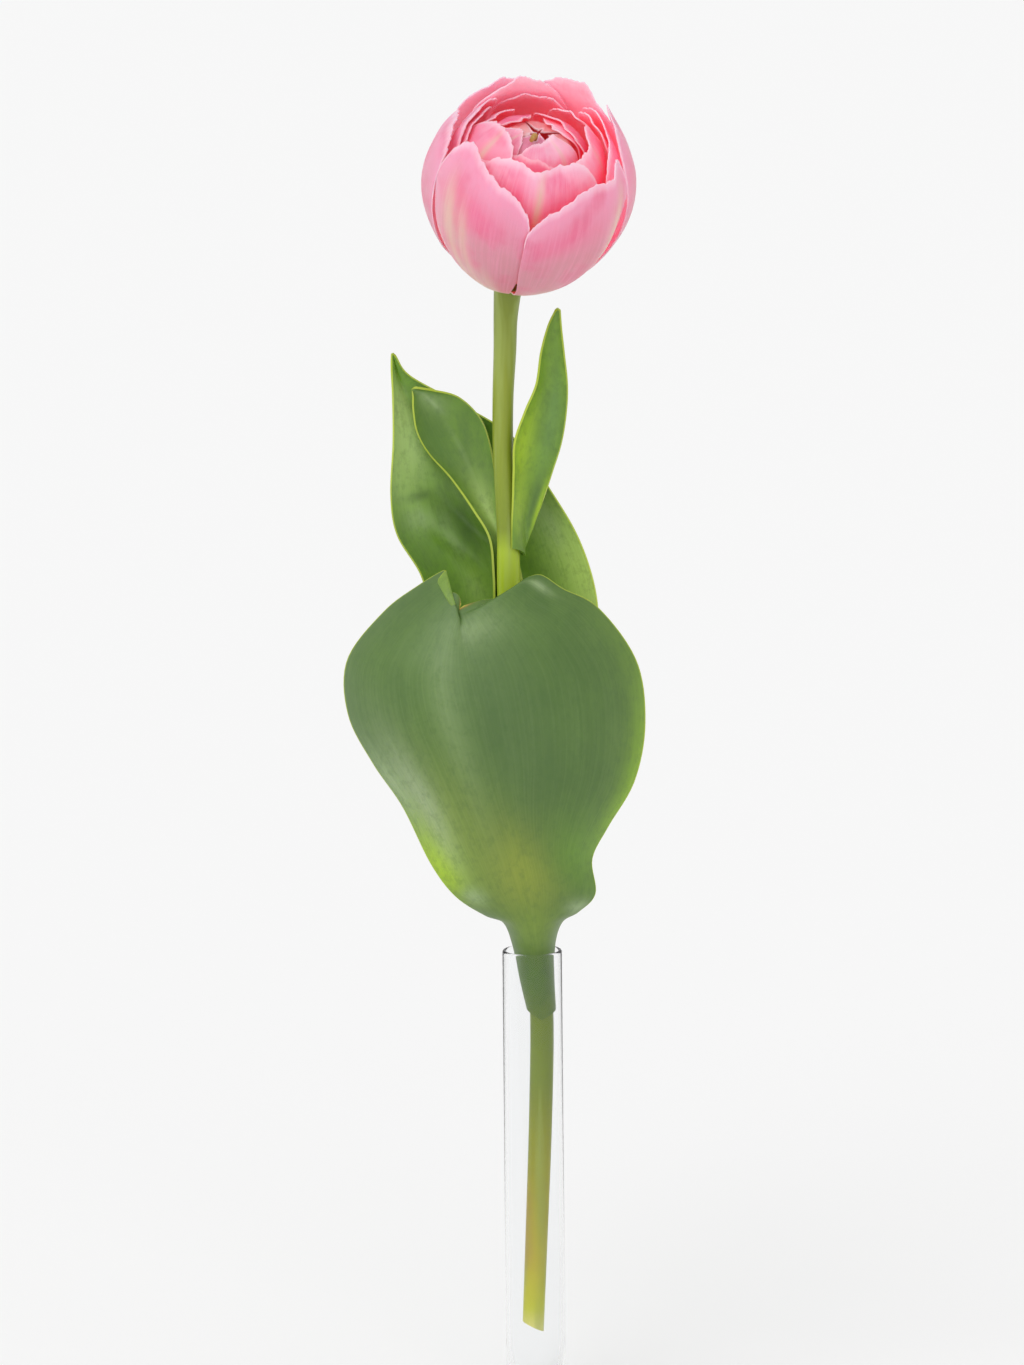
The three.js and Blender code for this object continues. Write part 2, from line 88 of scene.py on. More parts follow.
def new_material(name):
    """A material with its node tree and its principled shader."""
    material = bpy.data.materials.new(name)
    material.use_nodes = True
    return material, material.node_tree, material.node_tree.nodes["Principled BSDF"]


vase_inner = VASE_RADIUS - VASE_WALL
lip = VASE_WALL / 2
vase_profile = [(PIN_HOLE, 0.0), (FOOT_RING, 0.0)]
vase_profile += arc(VASE_RADIUS - FOOT_ROUNDING, FOOT_ROUNDING, FOOT_ROUNDING, FOOT_ROUNDING, -90, 0, 8)
vase_profile += arc(VASE_RADIUS - lip, VASE_HEIGHT - lip, lip, lip, 0, 180, 12)
hollow_end = 90 - math.degrees(math.asin(PIN_HOLE / vase_inner))
vase_profile += arc(0, VASE_FLOOR + HOLLOW_ROUNDING, vase_inner, HOLLOW_ROUNDING, 0, -hollow_end, 28)
vase = turned_piece("tube_vase", vase_profile, GLASS_SIDES)

glass, tree, shader = new_material("clear_drawn_glass")
shader.inputs["Base Color"].default_value = (0.98, 0.985, 0.988, 1)
shader.inputs["Transmission Weight"].default_value = 1.0
shader.inputs["Roughness"].default_value = 0.0
shader.inputs["IOR"].default_value = 1.22
vase.data.materials.append(glass)
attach(vase, "root")
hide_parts("glass_vase")

# The stem is a smooth round stalk, cut on a slant. It bows a little and thickens under the bloom,
# where a small cone carries the petals. A ring is extruded into a straight rod, which is then bent.
PLANT_LIFT = VASE_FLOOR
# places up the middle of the stalk from its cut end, in mm above the vase's floor, with their radii
STEM_LINE = [
    (-0.7, -3.95, 22), (0.6, -2.5, 51), (1.95, -1, 82), (2.8, 0.5, 112), (2.2, 1.5, 126),
    (-0.2, 2.4, 152), (-2.6, 3.4, 189), (-5.2, 4.0, 225), (-6.0, 4.3, 247), (-6.0, 4.7, 262),
    (-6.6, 5.2, 274), (-7.3, 6.2, 289), (-7.2, 7.3, 304), (-6.5, 8.6, 318), (-6.2, 8.9, 328),
]
STEM_RADII = [3.2, 3.35, 3.5, 3.6, 3.6, 3.8, 3.75, 3.6, 3.5, 3.4, 3.2, 3.1, 3.15, 3.4, 3.6]
STEM_CUT_SLANT = 0.45
BLOOM_BASE = np.array([-5.2, 6.2, 339.0])
BLOOM_AXIS = np.array([0.17, -0.4, 0.9])
BLOOM_AXIS /= np.linalg.norm(BLOOM_AXIS)
CONE_RADIUS = 4.2
CONE_HEIGHT = 11.0
CONE_TIP_RADIUS = 1.05
STEM_RINGS = 150
STEM_SIDES = 32
CONE_RINGS = 12
CONE_SINK = 1.6
NECK_SINK = 1.5
ROD_SMOOTH_BELOW = math.radians(60)


def spline(values, t):
    """Values of evenly stepped entries at t from 0 to 1, on a smooth curve through each entry."""
    values = np.asarray(values, float)
    last = len(values) - 1
    place = np.clip(np.asarray(t, float), -0.1, 1.1) * last
    i = np.clip(np.floor(place).astype(int), 0, last - 1)
    f = place - i
    if values.ndim > 1:
        f = f[..., None]
    padded = np.concatenate([[2 * values[0] - values[1]], values, [2 * values[-1] - values[-2]]])
    a, b, c, d = padded[i], padded[i + 1], padded[i + 2], padded[i + 3]
    cubic = 3 * (b - c) + d - a
    square = 2 * a - 5 * b + 4 * c - d
    return b + 0.5 * f * (c - a + f * (square + f * cubic))


def unit(vectors):
    return vectors / np.linalg.norm(vectors, axis=-1, keepdims=True)


def get_points(piece):
    """The piece's vertices as rows of x, y and z."""
    points = np.empty(len(piece.data.vertices) * 3)
    piece.data.vertices.foreach_get("co", points)
    return points.reshape(-1, 3)


def set_points(piece, points):
    """Moves the piece's vertices to points in millimetres above the vase's floor."""
    lifted = points + np.array([0, 0, PLANT_LIFT])
    piece.data.vertices.foreach_set("co", (lifted * MM).ravel())
    piece.data.update()


def round_rod(name, sides, rings):
    """A straight rod of radius 1 with rings at heights 0 to 1, open at both ends, then filled."""
    bpy.ops.mesh.primitive_circle_add(vertices=sides, radius=1)
    piece = bpy.context.object
    piece.name = name
    bpy.ops.object.mode_set(mode="EDIT")
    bpy.ops.mesh.select_all(action="SELECT")
    for _ in range(rings):
        bpy.ops.mesh.extrude_region_move(TRANSFORM_OT_translate={"value": (0, 0, 1 / rings)})
    bpy.ops.mesh.select_all(action="SELECT")
    bpy.ops.mesh.fill_holes(sides=0)
    bpy.ops.mesh.select_all(action="SELECT")
    bpy.ops.mesh.normals_make_consistent(inside=False)
    bpy.ops.object.mode_set(mode="OBJECT")
    return piece


def bend_rod(piece, line, radii, slant=0.0, end_axis=None):
    """Lays the rod along a line with the radii of each place."""
    points = get_points(piece)
    t = points[:, 2]
    centre = spline(line, t)
    along = unit(spline(line, np.minimum(t + 0.01, 1)) - spline(line, np.maximum(t - 0.01, 0)))
    if end_axis is not None:
        along = unit(along + (end_axis - along) * np.clip((t - 0.97) / 0.03, 0, 1)[:, None])
    right = unit(np.cross(np.array([0.0, -1.0, 0.0]), along))
    up = np.cross(along, right)
    radius = spline(radii, t)[:, None]
    x, y = points[:, :1], points[:, 1:2]
    tilt = slant * radius * x * (1 - t[:, None]) ** 40
    set_points(piece, centre + (right * x + up * y) * radius + along * tilt)


neck = BLOOM_BASE - BLOOM_AXIS * NECK_SINK
stem_part = round_rod("flower_stalk", STEM_SIDES, STEM_RINGS)
bend_rod(stem_part, STEM_LINE + [tuple(neck)], STEM_RADII + [CONE_RADIUS], STEM_CUT_SLANT, BLOOM_AXIS)
bpy.ops.object.shade_smooth_by_angle(angle=ROD_SMOOTH_BELOW)
cone_part = round_rod("cone_of_growth", STEM_SIDES, CONE_RINGS)
cone_heights = (-CONE_SINK, 0, CONE_HEIGHT / 2, CONE_HEIGHT, CONE_HEIGHT + 0.8)
cone_line = [tuple(BLOOM_BASE + BLOOM_AXIS * height) for height in cone_heights]
cone_middle = (CONE_RADIUS + CONE_TIP_RADIUS) / 2
cone_radii = [CONE_RADIUS - 0.05, CONE_RADIUS, cone_middle, CONE_TIP_RADIUS, 0.5]
bend_rod(cone_part, cone_line, cone_radii)
bpy.ops.object.shade_smooth_by_angle(angle=ROD_SMOOTH_BELOW)


def put(tree, kind, inputs=None, **settings):
    """A node with its settings, and its inputs given as values or as sockets to link."""
    node = tree.nodes.new(kind)
    for key, value in settings.items():
        setattr(node, key, value)
    for key, value in (inputs or {}).items():
        if isinstance(value, bpy.types.NodeSocket):
            tree.links.new(value, node.inputs[key])
        else:
            node.inputs[key].default_value = value
    return node


def calc(tree, operation, *values, clamp=False):
    node = put(tree, "ShaderNodeMath", dict(enumerate(values)), operation=operation, use_clamp=clamp)
    return node.outputs[0]


def times(tree, *factors):
    """The product of two or more values."""
    product = factors[0]
    for factor in factors[1:]:
        product = calc(tree, "MULTIPLY", product, factor)
    return product


def blend(tree, factor, low, high, mode="MIX"):
    """A colour mixed from low to high."""
    inputs = {"Factor": factor, 6: low, 7: high}
    return put(tree, "ShaderNodeMix", inputs, data_type="RGBA", blend_type=mode).outputs[2]


def ramp(tree, factor, stops):
    """A colour from a list of (place, colour) stops."""
    node = put(tree, "ShaderNodeValToRGB", {"Fac": factor})
    elements = node.color_ramp.elements
    while len(elements) < len(stops):
        elements.new(0.5)
    for element, (place, tone) in zip(elements, stops):
        element.position = place
        element.color = tone
    return node.outputs[0]


def fade(tree, value, start, end):
    """0 at start and 1 at end, with a soft curve between."""
    inputs = {"Value": value, "From Min": start, "From Max": end, "To Min": 0.0, "To Max": 1.0}
    node = put(tree, "ShaderNodeMapRange", inputs, interpolation_type="SMOOTHSTEP", clamp=True)
    return node.outputs[0]


def colour(red, green, blue):
    """A shader colour from screen values 0 to 255."""
    return tuple((c / 255 / 12.92 if c < 10.31 else ((c / 255 + 0.055) / 1.055) ** 2.4) for c in
                 (red, green, blue)) + (1.0,)


def object_place(tree, scale=(1, 1, 1)):
    """The place on the piece in metres, times a scale for each direction."""
    place = put(tree, "ShaderNodeTexCoord").outputs["Object"]
    return put(tree, "ShaderNodeMapping", {"Vector": place, "Scale": scale}).outputs[0]


def noise(tree, place, scale, detail=3.0, roughness=0.5):
    inputs = {"Vector": place, "Scale": scale, "Detail": detail, "Roughness": roughness}
    return put(tree, "ShaderNodeTexNoise", inputs).outputs["Fac"]


def bump(tree, shader, height, strength, distance):
    inputs = {"Height": height, "Strength": strength, "Distance": distance}
    tree.links.new(put(tree, "ShaderNodeBump", inputs).outputs[0], shader.inputs["Normal"])


stalk, tree, shader = new_material("smooth_green_stalk")
place = put(tree, "ShaderNodeSeparateXYZ", {"Vector": object_place(tree)}).outputs
stalk_reach = {"Value": place["Z"], "From Min": 0.024, "From Max": 0.345}
height_share = put(tree, "ShaderNodeMapRange", stalk_reach).outputs[0]
stalk_colour = ramp(tree, height_share, [
    (0.0, colour(244, 238, 160)), (0.025, colour(206, 208, 60)), (0.07, colour(196, 182, 56)),
    (0.14, colour(166, 162, 40)), (0.24, colour(120, 138, 44)), (0.36, colour(96, 120, 38)),
    (0.6, colour(112, 138, 34)), (0.7, colour(168, 192, 30)), (0.744, colour(170, 194, 40)),
    (0.764, colour(124, 142, 30)), (0.9, colour(132, 146, 36)), (1.0, colour(112, 128, 36)),
])
fine_grain = noise(tree, object_place(tree, (900, 900, 60)), 1.0, 4)
soft_patch = noise(tree, object_place(tree, (260, 260, 14)), 1.0, 2)
patches = times(tree, fade(tree, soft_patch, 0.45, 0.7), 0.5)
stalk_colour = blend(tree, patches, stalk_colour, colour(156, 174, 96))
blush = times(tree, fade(tree, place["Z"], 0.04, 0.05), fade(tree, place["Z"], 0.078, 0.062),
              fade(tree, place["X"], 0.001, -0.003), 0.55)
stalk_colour = blend(tree, blush, stalk_colour, colour(176, 138, 84))
stalk_colour = blend(tree, times(tree, fine_grain, 0.12), stalk_colour, colour(190, 200, 70))
tree.links.new(stalk_colour, shader.inputs["Base Color"])
shader.inputs["Roughness"].default_value = 0.42
shader.inputs["Subsurface Weight"].default_value = 0.2
shader.inputs["Subsurface Radius"].default_value = (0.9, 1.0, 0.3)
shader.inputs["Subsurface Scale"].default_value = 0.002
bump(tree, shader, fine_grain, 0.15, 0.0003)
for piece in (stem_part, cone_part):
    piece.data.materials.append(stalk)
    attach(piece, "root")
    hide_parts("stem")

# The leaves are smooth fleshy blades with fine ribs from base to tip. Each clasps the stem with its
# base, and the broad one is wedged in the rim of the vase. Each starts as a flat grid.
LEAF_THICKNESS = 0.7
EULER = 2.718
# each row is a place up the blade: its left margin, midrib and right margin (mm above the vase's
# floor), and how far the blade wraps round and turns there (degrees)
BROAD_LEAF = [
    [(-1.5, 1.1, 119), (2.7, -3.5, 116.5), (6.95, 1.3, 119), 88, 0],
    [(-3.6, 1.9, 128), (1.8, -4.3, 127), (6.6, 2.2, 128), 86, 0],
    [(-5.6, 2.2, 138.5), (1.2, -6.7, 138), (6.7, 2.5, 138.5), 80, 0],
    [(-8.4, 0.4, 146), (0.2, -9.4, 146), (9, 0.4, 146), 70, 0],
    [(-14, -3, 149), (-1, -11.4, 152.5), (14, -2.8, 149.8), 60, 0],
    [(-22.9, -7, 155.8), (-3, -14.8, 163), (19, -4.6, 155.6), 50, 0],
    [(-30.1, -7.5, 165.9), (-5.5, -18, 175), (18.1, -4, 166), 50, 0],
    [(-38.3, -6, 183), (-9, -22, 188), (22.9, -2.6, 175.5), 55, 0],
    [(-47.1, -2, 195.5), (-12, -24.5, 202), (31, 0, 189), 55, 0],
    [(-54.4, 2, 209.5), (-15, -25.5, 215), (34.4, 2, 206), 55, 0],
    [(-54.5, 3, 226), (-17.4, -24.2, 225), (32, 1, 225), 55, 0],
    [(-43.4, 1, 241), (-19, -21.8, 232), (20.8, -3, 241.8), 50, 0],
    [(-33, -3, 249.5), (-19.8, -20, 236.5), (10.2, -7.3, 248.7), 45, 0],
    [(-25, -7.5, 254.7), (-20.3, -18.7, 239.6), (3, -10, 253.8), 42, 0],
    [(-26.9, -11, 251.9), (-20.7, -17.6, 241.5), (-3, -12.3, 251.2), 38, 0],
    [(-24.9, -13.2, 249.4), (-20.9, -16.8, 242.7), (-6.6, -13.5, 247.4), 35, 0],
    [(-21.4, -14.6, 248.6), (-21.1, -16.1, 243.5), (-13.5, -14.4, 246.6), 32, 0],
    [(-20.2, -15.4, 245.8), (-21.2, -15.5, 244), (-19.4, -15.2, 245.2), 30, 0],
]
BACK_LEAF = [
    [(-6.2, 3, 166), (-1.3, 7.9, 166), (3.4, 3, 166), 88, 0],
    [(-15.6, 9, 187), (-3, 13, 187), (9.4, 8.4, 185), 70, 0],
    [(-23.6, 12, 211), (-5, 17, 210), (16.2, 11, 206), 55, 0],
    [(-29.2, 13.5, 235), (-8, 19, 234), (20.4, 12.5, 229), 50, 0],
    [(-32.2, 14, 249.5), (-10.5, 20, 249), (20.2, 13.5, 244), 50, 0],
    [(-39.4, 15, 262), (-16, 20.5, 263), (15.4, 14.5, 260), 50, 0],
    [(-41.2, 15.5, 274), (-21, 21, 277), (7.2, 16, 274.5), 50, 0],
    [(-40.3, 16.5, 290), (-27, 21.5, 290), (-4.2, 17.5, 291), 50, 0],
    [(-40.3, 19, 303), (-33.8, 21.8, 301.5), (-22.5, 19.8, 302.3), 50, 0],
    [(-40.6, 21, 311), (-38, 22.5, 309.8), (-35.3, 22, 309.5), 45, 0],
    [(-40.6, 22, 316), (-40.1, 22.1, 316.3), (-39.5, 22, 315.6), 30, 0],
]
LEFT_LEAF = [
    [(-10.4, 4.6, 243), (-6, 9.0, 243), (-1.6, 4.9, 243), 88, 0],
    [(-10.5, 5.2, 251), (-7, 9.8, 252), (-2.6, 7.6, 252), 80, 0],
    [(-11.6, 6.9, 262), (-9, 11.2, 262), (-5.9, 9.7, 260.5), 70, 0],
    [(-16.5, 9.3, 270.5), (-12.5, 12.6, 270), (-8.7, 10.6, 268.5), 60, 0],
    [(-23, 10.8, 279.7), (-15.8, 14, 280), (-9.6, 11.8, 279.6), 50, 0],
    [(-29.5, 12.2, 287), (-19.5, 15, 289), (-11.3, 12.8, 290), 50, 0],
    [(-33, 12.8, 293.5), (-23.5, 15.6, 296), (-14.2, 13.4, 297.6), 50, 0],
    [(-34.1, 13.2, 300), (-28, 15.4, 301.2), (-20.5, 13.8, 303.8), 50, 0],
    [(-34.2, 13.4, 304.3), (-31.4, 14.8, 305), (-28, 14.2, 306), 45, 0],
    [(-34.6, 13.8, 306.4), (-33.9, 14, 306.9), (-33, 13.9, 307), 30, 0],
]
RIGHT_LEAF = [
    [(-5.0, 0.2, 260), (-1.2, 4.5, 257), (-2.2, 7.2, 257), 75, 90],
    [(-4.9, 0.5, 267), (-1.5, 5.2, 265.5), (1.2, 7.4, 264.5), 60, 70],
    [(-4.5, 0.8, 275), (-0.2, 6, 273.5), (4.4, 6.6, 273), 50, 45],
    [(-4.2, 1.2, 283.5), (1.9, 6.9, 283), (7.5, 5.9, 282.5), 40, 15],
    [(-3.8, 1.6, 292), (3.9, 7.2, 292), (10.2, 5.6, 291), 35, 0],
    [(-0.6, 2.6, 301), (5.2, 7.2, 300), (11.7, 5.4, 300), 35, 0],
    [(2.8, 3.4, 309), (6.8, 6.9, 309), (12.1, 5.2, 308.5), 35, 0],
    [(4.3, 3.9, 318.5), (7.9, 6.4, 318), (11.2, 5.0, 318), 35, 0],
    [(6.5, 4.3, 326.4), (8.6, 5.5, 325.5), (10.4, 4.6, 326), 30, 0],
    [(8.8, 4.4, 331.2), (9.4, 4.6, 331.8), (10.1, 4.4, 331.2), 30, 0],
]


def smooth(t):
    """0 up to t = 0 and 1 from t = 1 on, with a soft curve between."""
    x = np.clip(t, 0, 1)
    return x * x * (3 - 2 * x)


def leaf_points(stations, ripple, u, v):
    """Points of a blade at u from -1 to 1 across and v from 0 to 1 along."""
    column = [np.array([station[k] for station in stations], float) for k in range(5)]
    rib = spline(column[1], v)
    margin = np.where((u < 0)[:, None], spline(column[0], v), spline(column[2], v))
    wrap = np.radians(spline(column[3], v))
    turn = np.radians(spline(column[4], v))
    reach = margin - rib
    tangent = np.stack([np.cos(turn), np.sin(turn), np.zeros_like(turn)], 1)
    lateral = tangent * (reach * tangent).sum(1, keepdims=True)
    lateral[:, 2] = reach[:, 2]
    angle = np.abs(u) * wrap
    points = rib + lateral * (np.sin(angle) / np.sin(wrap))[:, None]
    points += (reach - lateral) * ((1 - np.cos(angle)) / (1 - np.cos(wrap)))[:, None]
    points[:, 1] += ripple(u, v)
    return points


def hump(offset, width):
    """1 at an offset of 0, and about 0 from twice the width on."""
    return np.exp(-(offset / width) ** 2)


def broad_ripple(u, v):
    free = smooth(3 * v - 0.9) * smooth(6 - 6 * v)
    crease = hump(u + 0.06, 0.07) * smooth(8 * v - 5) * smooth(8 - 8 * v)
    return 1.2 * u * u * np.sin(19 * v + 2 * u) * free + 0.5 * crease


def back_ripple(u, v):
    fold = u + 0.4 - 3 * (0.58 - v)
    pleat = (1.9 * hump(fold - 0.12, 0.16) - 2.1 * hump(fold + 0.22, 0.2)) * hump(v - 0.5, 0.1)
    swell = 0.9 * hump(u + 0.35, 0.2236) * np.sin(13 * v - 4) * smooth(5 * v - 1.2)
    return pleat + swell


def left_ripple(u, v):
    return 0.7 * u * np.sin(11 * v) * smooth(4 * v - 1)


def no_ripple(u, v):
    return 0 * u


def grown_sheet(name, across, along, thickness, shape, materials):
    """A grid is shaped by shape(u, v) and given its thickness, with one material for each face."""
    bpy.ops.mesh.primitive_grid_add(x_subdivisions=across, y_subdivisions=along, size=2)
    piece = bpy.context.object
    piece.name = name
    flat = get_points(piece)
    set_points(piece, shape(flat[:, 0], (flat[:, 1] + 1) / 2))
    for material in materials:
        piece.data.materials.append(material)
    solid = piece.modifiers.new("thickness", "SOLIDIFY")
    solid.thickness = thickness * MM
    solid.offset = 0
    solid.material_offset = len(materials) - 1
    bpy.ops.object.modifier_apply(modifier="thickness")
    bpy.ops.object.shade_smooth_by_angle(angle=SMOOTH_BELOW)
    return piece


def spot(tree, u, v, place_u, place_v, reach_u, reach_v):
    """A soft round mask in a blade's own coordinates: u from -1 to 1 across, v from 0 to 1 along."""
    off_u = calc(tree, "DIVIDE", calc(tree, "SUBTRACT", u, place_u), reach_u)
    off_v = calc(tree, "DIVIDE", calc(tree, "SUBTRACT", v, place_v), reach_v)
    square = calc(tree, "ADD", times(tree, off_u, off_u), times(tree, off_v, off_v))
    return calc(tree, "POWER", EULER, times(tree, square, -1.0))


def blade_place(tree):
    """A blade's own coordinates from its UV map: u from -1 to 1 across, v from 0 to 1 along."""
    place = put(tree, "ShaderNodeSeparateXYZ", {"Vector": put(tree, "ShaderNodeUVMap").outputs[0]})
    return calc(tree, "MULTIPLY_ADD", place.outputs["X"], 2.0, -1.0), place.outputs["Y"]


def strands(tree, u, v, count, length, sway):
    """Fine streaks along a blade: the count goes across it, and sway bends them a little."""
    place = {"X": times(tree, u, count), "Y": times(tree, v, length), "Z": sway}
    return put(tree, "ShaderNodeCombineXYZ", place).outputs[0]


# painted sheen: a pale grey-green laid as highlights where the waxy leaves catch the light, on their
# slopes, rolls and ridges
PAINTED_SHEEN = colour(150, 172, 122)
LIME = colour(158, 190, 30)
FRESH = colour(112, 158, 30)
DEEP = colour(66, 98, 40)
PALE_RIB = colour(150, 176, 110)


def leaf_material(name, body, spots, edge_colour=colour(186, 200, 60), veins=60.0):
    """A leaf's finish: its green with soft patches of other tones, some of them painted sheen, glow
    and shade, fine ribs, flecks and a light margin. A spot is its place and its reach across and
    along, its strength and its tone."""
    material, tree, shader = new_material(name)
    u, v = blade_place(tree)
    cloud = noise(tree, object_place(tree, (90, 90, 50)), 1.0, 8, 0.62)
    ribs = noise(tree, strands(tree, u, v, veins, 3.0, times(tree, cloud, 2.0)), 1.0, 3.0, 0.6)
    paint = blend(tree, times(tree, fade(tree, cloud, 0.38, 0.66), 0.45), body, DEEP)
    for place_u, place_v, reach_u, reach_v, strength, tone in spots:
        mask = times(tree, spot(tree, u, v, place_u, place_v, reach_u, reach_v), strength)
        ribbed = calc(tree, "MULTIPLY_ADD", ribs, 0.7, 0.65)
        paint = blend(tree, calc(tree, "MULTIPLY", mask, ribbed, clamp=True), paint, tone)
    paint = blend(tree, times(tree, fade(tree, ribs, 0.4, 0.72), 0.06), paint, PALE_RIB)
    side = calc(tree, "ABSOLUTE", u)
    rim = calc(tree, "MAXIMUM", fade(tree, side, 0.986, 0.998), fade(tree, v, 0.985, 1.0))
    flecks = noise(tree, object_place(tree, (420, 420, 300)), 1.0, 5, 0.7)
    paint = blend(tree, times(tree, fade(tree, flecks, 0.45, 0.68), 0.28), paint, DEEP)
    paint = blend(tree, times(tree, rim, 0.7), paint, edge_colour)
    tree.links.new(paint, shader.inputs["Base Color"])
    tree.links.new(calc(tree, "MULTIPLY_ADD", cloud, 0.2, 0.34), shader.inputs["Roughness"])
    shader.inputs["Subsurface Weight"].default_value = 0.15
    shader.inputs["Subsurface Radius"].default_value = (0.6, 1.0, 0.1)
    shader.inputs["Subsurface Scale"].default_value = 0.0015
    bump(tree, shader, ribs, 0.15, 0.0003)
    return material


broad_green = leaf_material("broad_leaf_outside", colour(82, 114, 46), [
    (0.15, 0.5, 0.3, 0.14, 0.6, colour(74, 102, 52)), (-0.2, 0.54, 0.1, 0.16, 0.3, PAINTED_SHEEN),
    (-0.3, 0.66, 0.3, 0.1, 0.3, colour(110, 138, 84)), (0.1, 0.72, 0.3, 0.06, 0.4, PAINTED_SHEEN),
    (0.0, 0.3, 0.45, 0.08, 0.75, colour(140, 152, 46)),
    (-0.45, 0.38, 0.3, 0.1, 0.5, colour(130, 150, 62)),
    (0.02, 0.18, 0.8, 0.07, 0.7, colour(118, 142, 46)),
    # painted light: the bright yellow-green patch on the right margin stands for light shining through
    # the leaf from behind
    (1.0, 0.47, 0.13, 0.12, 0.95, colour(130, 170, 10)), (0.75, 0.36, 0.3, 0.06, 0.45, FRESH),
    # painted sheen: the pale grey spots in these rows light the left slope and the rolled lower edges
    (-0.88, 0.345, 0.26, 0.06, 1.0, LIME), (-0.72, 0.285, 0.16, 0.018, 0.7, PAINTED_SHEEN),
    (-0.9, 0.44, 0.12, 0.05, 0.75, PAINTED_SHEEN), (-0.68, 0.42, 0.14, 0.08, 0.5, colour(170, 184, 150)),
    (0.82, 0.255, 0.2, 0.022, 0.75, PAINTED_SHEEN), (0.86, 0.74, 0.05, 0.03, 0.7, PAINTED_SHEEN),
    (0.0, 1.0, 1.2, 0.03, 0.8, colour(214, 150, 60)),
    (0.0, 0.0, 4.0, 0.05, 0.85, colour(104, 126, 48)),
])
broad_inner = leaf_material("broad_leaf_inside", colour(120, 152, 52), [
    (0.0, 0.2, 0.6, 0.2, 0.5, LIME),
])
back_green = leaf_material("back_leaf_face", colour(102, 144, 30), [
    (-0.75, 0.74, 0.5, 0.14, 0.75, colour(196, 222, 140)),
    (1.0, 0.4, 0.4, 0.16, 0.85, colour(196, 222, 120)), (0.7, 0.54, 0.2, 0.06, 0.4, PAINTED_SHEEN),
    # painted light and shade along the pleat: sheen on its ridge, a thin dark line in its crease and a
    # dark patch in its valley
    (-0.25, 0.36, 0.2, 0.08, 0.5, colour(156, 186, 90)), (-0.3, 0.49, 0.1, 0.05, 0.35, PAINTED_SHEEN),
    (-0.55, 0.585, 0.2, 0.012, 0.6, DEEP), (-0.1, 0.5, 0.14, 0.06, 0.6, colour(58, 88, 36)),
    (-0.6, 0.53, 0.2, 0.03, 0.4, PAINTED_SHEEN), (-0.4, 0.9, 0.5, 0.08, 0.4, FRESH),
])
left_green = leaf_material("left_leaf_face", colour(98, 136, 34), [
    (0.05, 0.8, 0.12, 0.07, 0.45, PAINTED_SHEEN), (-0.08, 0.55, 0.08, 0.12, 0.15, PAINTED_SHEEN),
    (0.1, 0.28, 0.9, 0.14, 0.85, colour(186, 214, 120)),
    (0.0, 0.86, 0.6, 0.12, 0.4, colour(160, 184, 128)),
    (0.1, 0.1, 0.8, 0.09, 0.8, colour(150, 176, 64)),
    (-0.6, 0.6, 0.3, 0.2, 0.3, colour(70, 110, 34)),
])
right_green = leaf_material("right_leaf_face", colour(116, 154, 44), [
    (-0.7, 0.42, 0.42, 0.16, 0.95, LIME), (-0.6, 0.2, 0.5, 0.12, 0.8, colour(150, 182, 40)),
    (0.4, 0.55, 0.35, 0.2, 0.4, colour(104, 144, 84)), (0.5, 0.2, 0.2, 0.1, 0.5, DEEP),
    (0.9, 0.2, 0.15, 0.1, 0.9, LIME),
])
leaves = [
    ("broad_leaf", BROAD_LEAF, broad_ripple, (72, 130), [broad_green, broad_inner], "leaf_broad"),
    ("back_leaf", BACK_LEAF, back_ripple, (56, 110), [back_green, back_green], "leaf_back"),
    ("left_leaf", LEFT_LEAF, left_ripple, (44, 90), [left_green, back_green], "leaf_left"),
    ("right_leaf", RIGHT_LEAF, no_ripple, (40, 90), [right_green, back_green], "leaf_right"),
]
for name, stations, ripple, (across, along), materials, node_name in leaves:
    leaf = grown_sheet(name, across, along, LEAF_THICKNESS,
                       lambda u, v: leaf_points(stations, ripple, u, v), materials)
    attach(leaf, "root")
    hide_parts(node_name)

# The petals are soft thin blades in nested layers round the cone of growth. Each lies on its
# layer, narrows to a claw at its base, and ends in a waved and finely notched margin.
# radius and height (mm) from the base up, for the outer cup (layer 0) and for the bud (BUD_LAYER)
OUTER_RADIUS = [4.6, 14.8, 25.6, 32, 32, 26]
OUTER_HEIGHT = [0, 5.4, 15.4, 29, 43.5, 58]
BUD_RADIUS = [1.9, 6.3, 11, 13.6, 11.6, 3.8]
BUD_HEIGHT = [9.5, 14.5, 24, 37.5, 50, 53.4]
BUD_LAYER = 10
PETAL_THICKNESS = 0.42
CLAW_SHARES = (0.45, 0.45)
CLAW_LENGTH = 0.55
MARGIN_WAVE = 0.16
MARGIN_TUCKS = (0.2, 0.2)
MARGIN_CURL = 0.08
NOTCHES = (0.003, 0.0015)
NICKS = 0.006
PETAL_CELLS = (64, 54)
BLOOM_RIGHT = unit(np.cross(np.array([0, 1, -0.12]), BLOOM_AXIS))
BLOOM_BACK = np.cross(BLOOM_AXIS, BLOOM_RIGHT)

